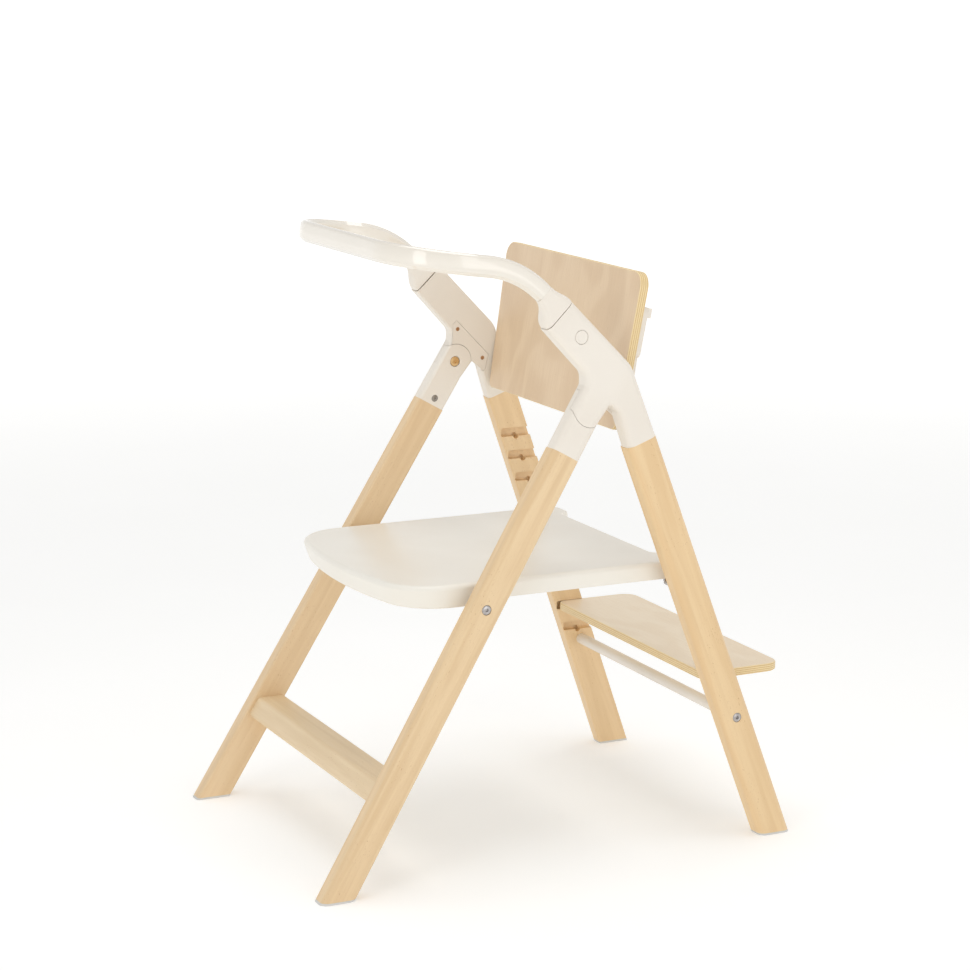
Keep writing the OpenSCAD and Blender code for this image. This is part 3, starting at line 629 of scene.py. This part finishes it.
nylon = plastic("nylon grey", rgb(218, 216, 212), rgb(200, 198, 194), 0.5, 0.0, 0.3, 0.03)
steel = metal("zinc steel", rgb(196, 192, 190), rgb(150, 144, 142), 0.26, (1.0, 0.0, 0.0))
dark_steel = metal("cap bolt steel", rgb(168, 162, 154), rgb(128, 122, 114), 0.38, (0.0, 1.0, 0.0))
brass = metal("brass", rgb(232, 200, 150), rgb(204, 168, 116), 0.34, (0.0, 1.0, 0.0))
brass_dark = metal("brass screws", rgb(206, 168, 132), rgb(164, 122, 88), 0.4, (0.0, 1.0, 0.0))

# ---------- wood ----------

for node in (
    "front_leg_left", "front_leg_right", "rear_leg_left", "rear_leg_right", "front_stretcher", "stretcher_dowels",
):
    piece = cad_copy(node, node + "_wood")
    soften(piece, 0.35 if "leg" in node else 0.8)
    shade(piece)
    dress(piece, body_of(node), slot_of(node), MAT[node], node)

PLY_EDGE = 2.2           # rounding of the plywood's edges
BACKREST_LOW_W, BACKREST_HIGH_W, BACKREST_LEN = 193, 204, 211
backrest_outline = rounded([
    (-BACKREST_LOW_W, 0, 9), (BACKREST_LOW_W, 0, 9),
    (BACKREST_HIGH_W, BACKREST_LEN, 20), (-BACKREST_HIGH_W, BACKREST_LEN, 20),
])
piece = pillow(
    "backrest_ply", backrest_outline, 0, BACKREST_T, PLY_EDGE, PLY_EDGE,
    lambda depth, x, up: backrest_point(x, depth, up),
)
shade(piece)
dress(piece, "rear_frame", "plywood", MAT["backrest"], "backrest")

board_low, board_high = (tuple(c / MM for c in corner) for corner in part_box("step_board"))
board_w = board_high[0]
board_t = board_high[2] - board_low[2]
board_mid = (board_high[2] + board_low[2]) / 2
board_outline = rounded([
    (-board_w, board_low[1], 16), (board_w, board_low[1], 16),
    (board_w - 2, board_high[1], 22), (-board_w + 2, board_high[1], 22),
])
MAT["step_board"] = plywood(
    "plywood board", (0, 0, 1), (0, 1, 0), ACROSS, board_mid, board_t, PLIES,
    rgb(244, 228, 202), rgb(234, 213, 182),
)
piece = pillow(
    "step_board_ply", board_outline, board_low[2], board_high[2], PLY_EDGE, PLY_EDGE,
    lambda level, x, y: (x, y, level),
)
shade(piece)
dress(piece, "board_body", "plywood", MAT["step_board"], "step_board")

# ---------- hubs, caps and covers ----------

FLARE = tan(radians(7))   # the knuckle widens by this behind the pivot
FLARE_FROM = PIVOT_S - 14
STUB = 60                # how far a form runs on past the piece that it rounds
ARM_RUN = 25


def knuckle_rear(along):
    """Rear line of a knuckle: in line with the leg, then flared."""
    return front_point(FRONT_W + max(0, along - FLARE_FROM) * FLARE, along)


def plain(*points):
    """Outline points with sharp corners."""
    return [(*p, 0) for p in points]


HUB_FORM = rounded(
    plain(arm_point(-ARM_RUN, -ARM_W / 2))
    + [(40.8, 656.5, 16), (40.2, 641.3, 8)]
    + plain(front_point(0, PIVOT_S - STUB), knuckle_rear(PIVOT_S - STUB), knuckle_rear(FLARE_FROM))
    + [(*knuckle_rear(PIVOT_S + 16.5), 2.0), (86.5, 603.5, 7)]
    + plain(rear_point(0, SLEEVE_S - ARM_RUN), rear_point(REAR_W, SLEEVE_S - ARM_RUN))
    + [(109, 662.8, 36)]
    + plain(arm_point(-ARM_RUN, ARM_W / 2))
)
CAP_FORM = rounded(
    plain(
        front_point(0, CAP_S - STUB), front_point(0, PIVOT_S + STUB),
        knuckle_rear(PIVOT_S + STUB), knuckle_rear(FLARE_FROM), knuckle_rear(CAP_S - STUB),
    )
)


def rounded_cad(node, form, name, material):
    """The CAD node with its long edges rounded by a form, and its right side twin."""
    piece = cad_copy(node, name)
    tool = pillow(
        "form", inset(form, SKIN), -LEG_T - 0.5, SKIN * 0.5, EDGE_IN + 0.5, EDGE_OUT, side_point, 10
    )
    boolean(piece, tool, "INTERSECT")
    soften(piece, 0.3, 50)
    shade(piece)
    right = node.replace("left", "right")
    twin = mirrored_copy(piece, name.replace("left", "right"))
    shade(twin)
    for obj, which in ((piece, node), (twin, right)):
        dress(obj, body_of(which), slot_of(which), material, which)


rounded_cad("hub_left", HUB_FORM, "hub_left_shell", hub_plastic)
rounded_cad("leg_cap_left", CAP_FORM, "leg_cap_left_shell", hub_plastic)

COVER_FORM = rounded([
    (42.6, 666.3, 2), (48.5, 672.5, 2), (99.9, 619.5, 3), (93.6, 592, 3), (86.6, 599.5, 5),
    (PIVOT.x + 27, PIVOT.y - 0.5, 0), (PIVOT.x, PIVOT.y + 8, 0), (41.4, 637.5, 0), (42.4, 650, 6),
])
COVER_GAP = 0.4          # seam round a cover plate
piece = cad_copy("hub_cover_left", "hub_cover_left_plate")
tool = prism("form", inset(COVER_FORM, COVER_GAP), -LEG_T - 1, -LEG_T + 5, side_point)
boolean(piece, tool, "INTERSECT")
soften(piece, 0.2, 45)
shade(piece)
twin = mirrored_copy(piece, "hub_cover_right_plate")
shade(twin)
dress(piece, "rear_frame", "cream_plastic", hub_plastic, "hub_cover_left")
dress(twin, "rear_frame", "cream_plastic", hub_plastic, "hub_cover_right")

piece = cad_copy("backrest_carrier", "backrest_carrier_moulding")
soften(piece, 1.2, 45)
shade(piece)
dress(piece, "rear_frame", "cream_plastic", hub_plastic, "backrest_carrier")

# ---------- guard ring and collars ----------

RING_EDGE = 4.6
CROWN_OUT, CROWN_IN = 2.2, 0.8


def band_section(edge, crown_out, crown_in, t, h, steps=7, flat=9):
    """(out, up) points of a rounded band: its two broad faces are crowned."""
    points = []
    for sign in (1, -1):
        crown = crown_out if sign > 0 else crown_in
        half_t, half_h = t / 2 - crown, h / 2
        run = half_h - edge
        for i in range(flat):
            u = -run + 2 * run * i / flat
            points.append((sign * (half_t + crown * (1 - (u / half_h) ** 2)), sign * u))
        for i in range(steps + 1):
            a = pi / 2 * i / steps
            lift = crown * (1 - ((run + edge * sin(a)) / half_h) ** 2)
            points.append((sign * (half_t - edge + edge * cos(a) + lift), sign * (run + edge * sin(a))))
        points.append((0, sign * half_h))
    return points


seam = Vector(arm_point(-COLLAR_LEN, RING_SHIFT))
bend_centre = seam - RING_BEND * Vector((sin(ARM_SLOPE), cos(ARM_SLOPE)))
bend_out = bend_centre + RING_BEND * Vector((sin(RING_RISE), cos(RING_RISE)))
rise = Vector((-cos(RING_RISE), sin(RING_RISE)))
side_run = (bend_out.x - RING_FRONT) / cos(RING_RISE) - RING_CORNER


def ring_stations():
    """(centre, outward, upward, height) along the left half of the ring, from collar to middle of the front."""
    out = []
    bend_steps, run_steps, corner_steps, front_steps = 20, 8, 28, 6
    for i in range(bend_steps + 1):
        t = i / bend_steps
        a = ARM_SLOPE + (RING_RISE - ARM_SLOPE) * t
        p = bend_centre + RING_BEND * Vector((sin(a), cos(a)))
        height = RING_END_H + (RING_H - RING_END_H) * t
        out.append((Vector((RING_HALF_W, p.x, p.y)), Vector((1, 0, 0)), Vector((0, sin(a), cos(a))), height))
    up = Vector((0, sin(RING_RISE), cos(RING_RISE)))
    for i in range(1, run_steps):
        p = bend_out + rise * (side_run * i / run_steps)
        out.append((Vector((RING_HALF_W, p.x, p.y)), Vector((1, 0, 0)), up, RING_H))
    for i in range(corner_steps + 1):
        b = pi / 2 * i / corner_steps
        p = bend_out + rise * (side_run + RING_CORNER * sin(b))
        x = RING_HALF_W - RING_CORNER * (1 - cos(b))
        out.append((Vector((x, p.x, p.y)), Vector((cos(b), rise.x * sin(b), rise.y * sin(b))), up, RING_H))
    end = out[-1]
    for i in range(1, front_steps + 1):
        centre = end[0].copy()
        centre.x *= 1 - i / front_steps
        out.append((centre, end[1], up, RING_H))
    return out


def ring_rings():
    """The ring's sections from one collar to the other."""
    half = []
    for centre, outward, up, height in ring_stations():
        section = band_section(RING_EDGE, CROWN_OUT, CROWN_IN, RING_T, height)
        half.append([centre + outward * o + up * u for o, u in section])
    other_half = [[Vector((-p.x, p.y, p.z)) for p in ring] for ring in reversed(half[:-1])]
    return half + other_half


piece = loft("guard_ring_band", ring_rings())
soften(piece, 0.3, 50)
shade(piece, 35)
dress(piece, "guard_body", "cream_plastic", ring_plastic, "guard_ring")


def corner_ring(corners, place, steps=8, side_steps=3):
    """A section with four rounded corners: (a, b, radius) each, anticlockwise."""
    points = []
    outline = rounded(corners, steps)
    n = steps + 1
    for k in range(4):
        points += outline[k * n:(k + 1) * n]
        start, end = outline[(k + 1) * n - 1], outline[((k + 1) * n) % len(outline)]
        points += [start.lerp(end, j / (side_steps + 1)) for j in range(1, side_steps + 1)]
    return [place(*p) for p in points]


def collar():
    """Tapers from the arm's section to the ring's."""
    gap = 0.4
    rings = []
    steps = 14
    for i in range(steps + 1):
        t = i / steps
        ease = t - 0.10 * sin(2 * pi * t)
        back = -gap - (COLLAR_LEN - gap) * t
        z = arm_point(back, 0)[1]
        half_w = ARM_W / 2 + (RING_END_H / 2 - ARM_W / 2) * ease
        shift = RING_SHIFT * ease
        x_out = outer_x(z) + (RING_HALF_W + RING_T / 2 - 0.5 - outer_x(z)) * ease
        x_in = inner_x(z) + (RING_HALF_W - RING_T / 2 + 0.3 - inner_x(z)) * ease
        r_out = EDGE_OUT + (RING_EDGE + 0.8 - EDGE_OUT) * ease
        r_in = EDGE_IN + (RING_EDGE - EDGE_IN) * ease
        corners = [
            (x_in, shift - half_w, r_in), (x_out, shift - half_w, r_out),
            (x_out, shift + half_w, r_out), (x_in, shift + half_w, r_in),
        ]

        def place(x, across, back=back):
            y, z = arm_point(back, across)
            return (x - (z - arm_point(back, 0)[1]) * tan(SIDE_LEAN) * (1 - t), y, z)

        rings.append(corner_ring(corners, place))
    return loft("collar_left_shell", rings)


piece = collar()
soften(piece, 0.35, 50)
shade(piece, 35)
twin = mirrored_copy(piece, "collar_right_shell")
shade(twin, 35)
dress(piece, "guard_body", "cream_plastic", hub_plastic, "collar_left")
dress(twin, "guard_body", "cream_plastic", hub_plastic, "collar_right")

# ---------- release buttons ----------

BUTTON_R = 9.0
button_at = arm_point(41, 0)
button_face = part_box("release_button_left")[1][0] / MM
button_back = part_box("release_button_left")[0][0] / MM
button_t = button_back - button_face
button_profile = [
    (0, -0.55), (3.2, -0.55), (5.4, -0.45), (6.3, -0.15), (6.9, 0.0), (7.7, 0.0), (8.4, -0.15), (8.8, -0.5),
    (BUTTON_R, -1.1), (BUTTON_R, button_t), (7.0, button_t), (0, button_t),
]
piece = lathe(
    "release_button_left_cap", button_profile, button_at[0], button_at[1], button_face, 1, 72
)
shade(piece, 40)
twin = mirrored_copy(piece, "release_button_right_cap")
shade(twin, 40)
dress(piece, "button_left_body", "cream_plastic", hub_plastic, "release_button_left")
dress(twin, "button_right_body", "cream_plastic", hub_plastic, "release_button_right")

# ---------- platform ----------

PLATFORM_EDGE = 7.0      # rounding of the top rim
PLATFORM_BOTTOM = 356.5
PLATFORM_WALL = 5.0
PLATFORM_W = 194.0
PLATFORM_FRONT = -226.0
PLATFORM_REAR = 191.0
PLATFORM_CORNER = 72.0
EAR_W, EAR_LEN = 40.0, 17.0
FRONT_TURN = radians(11)  # slope of the front edge where it meets its corners
SLANT, SLANT_TOP = 0.35, 6.0  # set-back for each millimetre down, from this far below the top


def platform_form(back, side, extra):
    """Outline with its front set back, its sides in by side, and its front corners larger by extra."""
    r = PLATFORM_CORNER + extra
    w = PLATFORM_W - side
    cx = w - r
    reach = cx / sin(FRONT_TURN)
    front_y = PLATFORM_FRONT + back + reach + r
    cy = front_y - reach * cos(FRONT_TURN)
    gap = radians(0.6)
    left = arc((-cx, cy), r, pi, 1.5 * pi - FRONT_TURN, 24)
    front = arc((0, front_y), reach + r, 1.5 * pi - FRONT_TURN + gap, 1.5 * pi + FRONT_TURN - gap, 24)
    right = arc((cx, cy), r, 1.5 * pi + FRONT_TURN, 2 * pi, 24)
    ear = PLATFORM_REAR + EAR_LEN - side
    rear = rounded([
        (w, ear - 60, 0), (w, ear, 14), (w - EAR_W, ear, 12), (w - EAR_W - 12, PLATFORM_REAR - side, 16),
        (-w + EAR_W + 12, PLATFORM_REAR - side, 16), (-w + EAR_W, ear, 12), (-w, ear, 14), (-w, ear - 60, 0),
    ])
    return left + front + right + rear


def platform_tool(skin, low, high, edge):
    """Rounded block on the platform's outline: vertical sides and a front that leans back a little."""
    rings = []
    low_r = min(2.0, edge)
    levels = [(low + low_r * (1 - cos(t)), low_r * (1 - sin(t))) for t in (0, pi / 6, pi / 3, pi / 2)]
    levels += [(low + low_r + 3 * i, 0) for i in range(1, 4)]
    turns = [pi / 2 * i / 10 for i in range(11)]
    levels += [(high - edge * (1 - sin(t)), edge * (1 - cos(t))) for t in turns]
    for z, side in levels:
        back = SLANT * max(0.0, PLATFORM_TOP - SLANT_TOP - z)
        rings.append([(x, y, z) for x, y in platform_form(back + side + skin, side + skin, -side - skin)])
    return loft("form", rings)


def block(x0, x1, y0, y1, z0, z1):
    """A box, used as a cutter or a rib."""
    return prism("form", [(x0, y0), (x1, y0), (x1, y1), (x0, y1)], z0, z1, lambda z, x, y: (x, y, z))


# The front is made anew, because its face leans back less than the CAD's. The rest is the CAD's.
NOSE_END = -144.0        # where the new front meets the CAD's part
RIB, RIB_FRONT = 1.5, -209
rim = PLATFORM_TOP - 0.02
beyond = PLATFORM_W + 9
nose = platform_tool(SKIN, PLATFORM_BOTTOM, rim, PLATFORM_EDGE)
boolean(
    nose,
    platform_tool(PLATFORM_WALL, PLATFORM_BOTTOM - PLATFORM_WALL, PLATFORM_TOP - PLATFORM_WALL, 0.5),
)
for x in (-110, -40, 40, 110):
    rib = block(x - RIB, x + RIB, RIB_FRONT, NOSE_END + 5, PLATFORM_BOTTOM + 2, PLATFORM_TOP - 4)
    boolean(nose, rib, "UNION")
boolean(nose, block(-beyond, beyond, NOSE_END, 300, 300, 500))
piece = cad_copy("platform", "platform_moulding")
boolean(piece, platform_tool(SKIN, PLATFORM_BOTTOM, rim, PLATFORM_EDGE), "INTERSECT")
boolean(piece, block(-beyond, beyond, -400, NOSE_END, 300, 500))
boolean(piece, nose, "UNION")
soften(piece, 0.6, 50)
shade(piece)
dress(piece, "platform_body", "cream_plastic", platform_plastic_painted_lighter, "platform")

# ---------- fasteners ----------


def hex_tool(y, z, x0, x1, across):
    """A hexagonal prism along X, across its flats."""
    r = across / 2 / cos(pi / 6)
    outline = [Vector((y + r * cos(pi / 3 * i + 0.2), z + r * sin(pi / 3 * i + 0.2))) for i in range(6)]
    return prism("socket", outline, x0, x1, lambda x, a, b: (x, a, b))


def socket_bolt(name, at, face, sign, end, head_r, head_t, shank_r, socket, socket_depth, dome=0.6):
    """A socket-head bolt along X. face is the X of its top, sign the way it looks, end the X of its tip."""
    y, z = at
    length = abs(face - end)
    profile = [
        (0, 0), (socket * 0.62, 0), (socket * 0.66, -0.02), (head_r * 0.72, -dome * 0.25),
        (head_r - 0.5, -dome * 0.8), (head_r, -dome * 1.5), (head_r, -head_t),
        (shank_r, -head_t - 0.05), (shank_r, -length + 1), (shank_r - 0.8, -length), (0, -length),
    ]
    bolt = lathe(name, profile, y, z, face, sign)
    x0, x1 = sorted((face + sign * 1, face - sign * socket_depth))
    boolean(bolt, hex_tool(y, z, x0, x1, socket))
    soften(bolt, 0.15, 40)
    return bolt


def both_sides(left, name, node, material, angle=35):
    """One piece from a left bolt and its right side twin."""
    twin = mirrored_copy(left, "twin")
    whole = merge(name, [left, twin])
    shade(whole, angle)
    dress(whole, body_of(node), slot_of(node), material, node)


def box_mm(node):
    """Lowest and highest corners of a CAD node."""
    low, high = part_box(node)
    return [c / MM for c in low], [c / MM for c in high]


for node, at, head in (("platform_pivot_bolts", (-108.5, 360.4), 6.6), ("rod_bolts", (262.8, 172.2), 6.6)):
    face = box_mm(node)[1][0]
    tip = 174.0 if "platform" in node else inner_x(at[1]) - 16
    both_sides(
        socket_bolt(node, at, face, 1, tip, head, 3.8, 4.0, 4.6, 2.8, 0.9), node + "_pair", node, steel
    )

CAP_BOLT = 60.3          # cap bolt below the pivot, along the leg
cap_at = (PIVOT.x - CAP_BOLT * sin(FRONT_LEAN), PIVOT.y - CAP_BOLT * cos(FRONT_LEAN))
cap_face, cap_end = inner_x(cap_at[1]) - 0.2, outer_x(cap_at[1]) - 8
both_sides(
    socket_bolt("cap", cap_at, cap_face, -1, cap_end, 5.0, 2.2, 2.5, 3.0, 1.6, 0.5),
    "cap_bolts_pair", "cap_bolts", dark_steel,
)
lap_x = inner_x(PIVOT.y) + LEG_T / 2
both_sides(
    socket_bolt("pivot", PIVOT, inner_x(PIVOT.y) + 0.2, -1, lap_x + 9, 7.0, 3.0, 4.0, 5.0, 2.4, 0.7),
    "pivot_bolts_pair", "pivot_bolts", brass,
)

for node, finish in (
    ("hub_cover_screws", brass_dark), ("pivot_inserts", brass), ("backrest_screws", steel),
    ("carrier_bolts", steel), ("rest_pegs", steel), ("platform_spacers", steel), ("platform_nuts", steel),
    ("platform_rail_left", steel), ("platform_rail_right", steel), ("rail_screws", steel),
    ("ring_tongue_left", steel), ("ring_tongue_right", steel), ("rear_glides", nylon),
    ("front_glides", nylon), ("cross_rod", rod_finish),
):
    piece = cad_copy(node, node + "_detail")
    soften(piece, 0.2 if node != "cross_rod" else 0.6, 45)
    shade(piece)
    dress(piece, body_of(node), slot_of(node), finish, node)

# The springs keep their CAD mesh.
springs = frame["nodes"]["button_springs"]
springs.data.materials.clear()
springs.data.materials.append(steel)

# ---------- floor, light and camera ----------

floor_mesh = bpy.data.meshes.new("floor")
FLOOR = 90.0             # half the floor's side, metres
floor_corners = [(x * FLOOR, y * FLOOR, 0) for x, y in ((-1, -1), (1, -1), (1, 1), (-1, 1))]
floor_mesh.from_pydata(floor_corners, [], [(0, 1, 2, 3)])
floor = bpy.data.objects.new("floor", floor_mesh)
bpy.context.scene.collection.objects.link(floor)
paper = Nodes("studio floor", roughness=0.9, specular=0.1)
tone = paper.noise(paper.place(), 3.0, 2.0, 0.5)
paper.colour(paper.mix(paper.ramp(tone, 0.3, 0.7, 0.0, 0.3), rgb(250, 250, 249), rgb(247, 247, 245)))
paper.shader.inputs["Emission Color"].default_value = (1.0, 1.0, 0.995, 1.0)
far = paper.add("ShaderNodeVectorMath", operation="LENGTH")
paper.wire(paper.place(), far.inputs[0])
paper.wire(paper.ramp(far.outputs["Value"], 1.0, 6.0, 0.20, 0.60), paper.shader.inputs["Emission Strength"])
floor.data.materials.append(paper.material)

CAMERA_TURN = radians(64.80)
CAMERA_RISE = radians(11.68)
CAMERA_AWAY = 3.7543
CAMERA_LENS = 101.55
LOOK_AT = Vector((0.0, 0.0005, 0.4713))


def from_angles(turn, rise, away):
    """A point away from LOOK_AT: turn 0 is in front of the chair, and turns towards its left side."""
    return LOOK_AT + away * Vector((sin(turn) * cos(rise), -cos(turn) * cos(rise), sin(rise)))


def look(obj, place, target):
    """Puts a light or the camera in its place, turned to its target."""
    obj.location = place
    obj.rotation_euler = (Vector(target) - Vector(place)).to_track_quat("-Z", "Y").to_euler()


camera_data = bpy.data.cameras.new("camera")
camera_data.lens = CAMERA_LENS
camera_data.sensor_width = 36.0
camera = bpy.data.objects.new("camera", camera_data)
bpy.context.scene.collection.objects.link(camera)
look(camera, from_angles(CAMERA_TURN, CAMERA_RISE, CAMERA_AWAY), LOOK_AT)
bpy.context.scene.camera = camera


def softbox(name, place, target, width, height, watts):
    """A rectangular light that the camera does not see."""
    data = bpy.data.lights.new(name, "AREA")
    data.shape = "RECTANGLE"
    data.size = width
    data.size_y = height
    data.energy = watts
    light = bpy.data.objects.new(name, data)
    light.visible_camera = False
    bpy.context.scene.collection.objects.link(light)
    look(light, place, target)


CHEST = (0.0, 0.0, 0.5)
softbox("top", (0.0, 0.2, 3.2), CHEST, 2.4, 2.4, 33)
# Two tall boxes that the corner and the side of the ring mirror as bright patches.
softbox("front box", (1.48, -2.32, 1.35), (0.19, -0.18, 1.35), 0.86, 2.2, 8)
softbox("side box", (2.34, 0.47, 1.20), (0.217, -0.115, 1.20), 0.95, 2.0, 4.6)

world = bpy.data.worlds.new("studio")
bpy.context.scene.world = world
world.use_nodes = True
nodes, links = world.node_tree.nodes, world.node_tree.links
sky = nodes["Background"]
sky.inputs["Color"].default_value = (1.0, 0.998, 0.994, 1.0)
height = nodes.new("ShaderNodeSeparateXYZ")
fade = nodes.new("ShaderNodeMapRange")
links.new(nodes.new("ShaderNodeTexCoord").outputs["Generated"], height.inputs[0])
links.new(height.outputs["Z"], fade.inputs["Value"])
links.new(fade.outputs["Result"], sky.inputs["Strength"])
for key, number in (("From Min", 0.10), ("From Max", 0.45), ("To Min", 1.0), ("To Max", 0.52)):
    fade.inputs[key].default_value = number
bpy.context.scene.view_settings.view_transform = "Standard"
